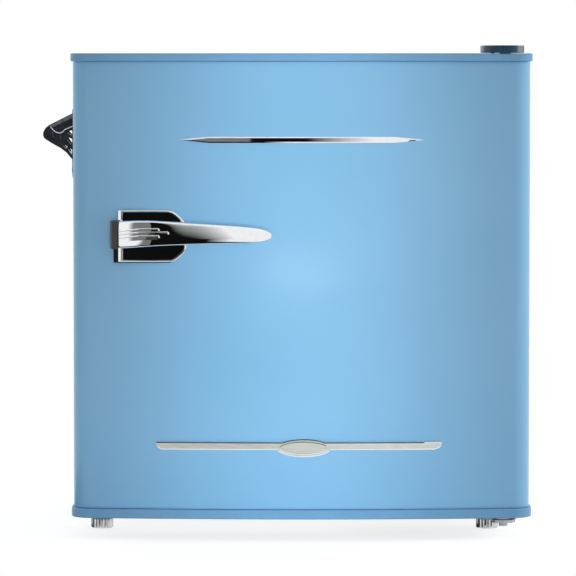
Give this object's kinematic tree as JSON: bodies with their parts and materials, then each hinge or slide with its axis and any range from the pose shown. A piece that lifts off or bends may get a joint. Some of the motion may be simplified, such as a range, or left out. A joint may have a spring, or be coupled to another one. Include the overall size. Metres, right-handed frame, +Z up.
{
  "type": "compact bar refrigerator",
  "caption": "Compact retro refrigerator with one bowed right-hung door, chrome lever pull, side bottle opener, wire shelf, door bins and a chiller box with flap and drip tray.",
  "frame": {"origin": "on the floor, under the middle of the whole part's box", "axes": "+Z up, +Y towards the back, +X to the right seen from the front; the door faces -Y"},
  "size_m": [0.4998, 0.4684, 0.498],
  "materials": {
    "blue_paint": "gloss",
    "blue_cap": "satin",
    "dark_blue": "satin",
    "zinc": "satin",
    "chrome": "polished",
    "black_chrome": "polished",
    "satin_silver": "satin",
    "aluminium": "satin",
    "copper": "satin",
    "white_plastic": "satin",
    "clear_plastic": "gloss",
    "grey_plastic": "satin",
    "black_plastic": "gloss",
    "black_paint": "satin",
    "rubber": "matte",
    "pale_rubber": "matte",
    "foam": "matte"
  },
  "bodies": {
    "cabinet": {"cabinet_wrap": "blue_paint", "front_rail": "zinc", "back_panel": "zinc", "compartment_panel": "zinc", "base_pan": "zinc", "compressor_plate": "zinc", "cabinet_foam": "foam", "inner_liner": "white_plastic", "chiller_box": "aluminium", "chiller_bezel": "white_plastic", "thermostat_case": "white_plastic", "sensing_tube": "copper", "condenser_coil": "copper", "compressor": "black_paint", "grommet_1": "rubber", "grommet_2": "rubber", "grommet_3": "rubber", "grommet_4": "rubber", "starter_cover": "black_plastic", "cord_gland": "black_plastic", "discharge_line": "copper", "suction_line": "copper", "filter_drier": "copper", "capillary": "copper", "top_hinge_bracket": "zinc", "top_hinge_cover": "dark_blue", "bottom_hinge_bracket": "zinc", "top_hinge_screw_1": "zinc", "top_hinge_screw_2": "zinc", "lower_hinge_screw_1": "zinc", "lower_hinge_screw_2": "zinc", "left_rear_foot": "black_plastic", "right_rear_foot": "black_plastic", "bottle_opener": "black_chrome", "opener_screw_1": "black_chrome", "opener_screw_2": "black_chrome"},
    "door": {"door_skin": "blue_paint", "door_top_cap": "blue_cap", "door_bottom_cap": "blue_cap", "top_hinge_bush": "white_plastic", "bottom_hinge_bush": "white_plastic", "door_foam": "foam", "door_liner": "white_plastic", "door_gasket": "pale_rubber", "lower_bin_bar": "clear_plastic", "upper_bin_bar": "clear_plastic", "handle_pad": "rubber", "handle_base": "chrome", "handle_insert": "black_plastic", "handle_knuckle": "grey_plastic", "handle_lever": "chrome", "trim_strip": "satin_silver", "trim_medallion": "satin_silver", "upper_trim": "chrome"},
    "flap": {"chiller_flap": "clear_plastic"},
    "shelf": {"wire_shelf": "chrome"},
    "tray": {"drip_tray": "clear_plastic"},
    "knob": {"thermostat_knob": "grey_plastic"},
    "left_foot": {"left_front_foot": "satin_silver"},
    "right_foot": {"right_front_foot": "satin_silver"}
  },
  "joints": [
    {"name": "door_hinge", "type": "hinge", "parent": "cabinet", "child": "door", "pos_m": [0.2209, -0.18179, 0.25], "axis": [0, 0, 1], "range_deg": [0, 120]},
    {"name": "flap_hinge", "type": "hinge", "parent": "cabinet", "child": "flap", "pos_m": [-0.0616, -0.00759, 0.4408], "axis": [-1, 0, 0], "range_deg": [0, 85]},
    {"name": "shelf_slide", "type": "slide", "parent": "cabinet", "child": "shelf", "axis": [0, -1, 0], "range_m": [0, 0.07]},
    {"name": "tray_slide", "type": "slide", "parent": "cabinet", "child": "tray", "axis": [0, -1, 0], "range_m": [0, 0.09]},
    {"name": "knob_turn", "type": "hinge", "parent": "cabinet", "child": "knob", "pos_m": [0.1844, 0.06021, 0.404], "axis": [-1, 0, 0], "range_deg": [0, 300]},
    {"name": "left_foot_screw", "type": "slide", "parent": "cabinet", "child": "left_foot", "axis": [0, 0, -1], "range_m": [0, 0.01]},
    {"name": "right_foot_screw", "type": "slide", "parent": "cabinet", "child": "right_foot", "axis": [0, 0, -1], "range_m": [0, 0.01]}
  ]
}
